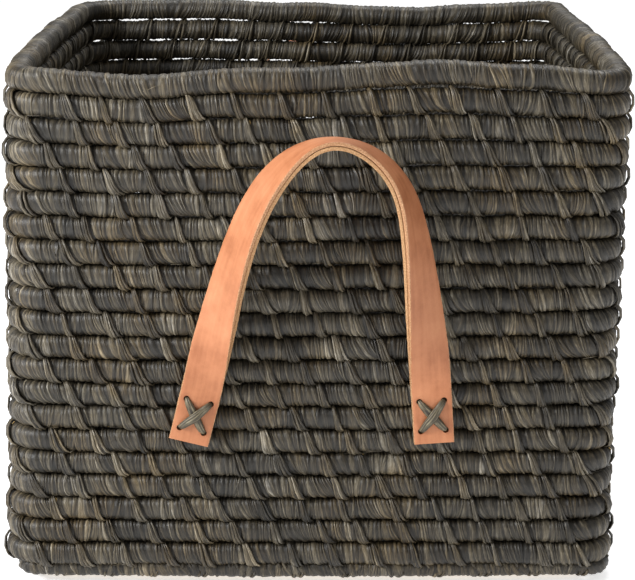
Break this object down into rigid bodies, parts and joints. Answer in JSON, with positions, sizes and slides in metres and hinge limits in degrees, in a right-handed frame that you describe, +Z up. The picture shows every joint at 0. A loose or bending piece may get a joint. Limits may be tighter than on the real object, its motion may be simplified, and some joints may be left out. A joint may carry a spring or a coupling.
{
  "type": "storage bin",
  "caption": "Square open-topped storage bin of stacked coiled raffia with rounded corners and laced leather strap handles.",
  "frame": {"origin": "middle of the bin, on the surface that it stands on", "axes": "+Z up, +Y to the back, so that the front handle is on the -Y side; +X to the right seen from the front"},
  "size_m": [0.35, 0.4356, 0.2934],
  "materials": {
    "raffia_wrap": "dyed raffia, matt with a dull sheen along the strands",
    "palm_core": "undyed palm fibre",
    "leather_face": "vegetable-tanned grain, satin",
    "leather_lining": "undyed flesh side, matt",
    "raffia_cord": "dyed raffia strand"
  },
  "bodies": {
    "bin": {"back_handle_left_end_face": "leather_face", "back_handle_left_end_lining": "leather_lining", "back_handle_right_end_face": "leather_face", "back_handle_right_end_lining": "leather_lining", "back_left_knots": "raffia_cord", "back_left_lacing": "raffia_cord", "back_right_knots": "raffia_cord", "back_right_lacing": "raffia_cord", "base_centre": "raffia_wrap", "base_coil_01": "raffia_wrap", "base_coil_02": "raffia_wrap", "base_coil_03": "raffia_wrap", "base_coil_04": "raffia_wrap", "base_coil_05": "raffia_wrap", "base_coil_06": "raffia_wrap", "base_coil_07": "raffia_wrap", "base_coil_08": "raffia_wrap", "base_coil_09": "raffia_wrap", "base_coil_10": "raffia_wrap", "base_coil_11": "raffia_wrap", "base_cores": "palm_core", "front_handle_left_end_face": "leather_face", "front_handle_left_end_lining": "leather_lining", "front_handle_right_end_face": "leather_face", "front_handle_right_end_lining": "leather_lining", "front_left_knots": "raffia_cord", "front_left_lacing": "raffia_cord", "front_right_knots": "raffia_cord", "front_right_lacing": "raffia_cord", "rim_coil": "raffia_wrap", "wall_coil_01": "raffia_wrap", "wall_coil_02": "raffia_wrap", "wall_coil_03": "raffia_wrap", "wall_coil_04": "raffia_wrap", "wall_coil_05": "raffia_wrap", "wall_coil_06": "raffia_wrap", "wall_coil_07": "raffia_wrap", "wall_coil_08": "raffia_wrap", "wall_coil_09": "raffia_wrap", "wall_coil_10": "raffia_wrap", "wall_coil_11": "raffia_wrap", "wall_coil_12": "raffia_wrap", "wall_coil_13": "raffia_wrap", "wall_coil_14": "raffia_wrap", "wall_coil_15": "raffia_wrap", "wall_coil_16": "raffia_wrap", "wall_coil_17": "raffia_wrap", "wall_coil_18": "raffia_wrap", "wall_coil_19": "raffia_wrap", "wall_coil_20": "raffia_wrap", "wall_cores": "palm_core"},
    "front_handle": {"front_handle_loop_face": "leather_face", "front_handle_loop_lining": "leather_lining"},
    "back_handle": {"back_handle_loop_face": "leather_face", "back_handle_loop_lining": "leather_lining"}
  },
  "joints": [
    {"name": "front_handle_flex", "type": "hinge", "parent": "bin", "child": "front_handle", "pos_m": [0, -0.17875, 0.11884], "axis": [1, 0, 0], "range_deg": [0, 80], "stiffness_Nm_per_rad": 0.1, "springref_deg": -6.88},
    {"name": "back_handle_flex", "type": "hinge", "parent": "bin", "child": "back_handle", "pos_m": [0, 0.17875, 0.11884], "axis": [-1, 0, 0], "range_deg": [0, 80], "stiffness_Nm_per_rad": 0.1, "springref_deg": -6.88}
  ]
}
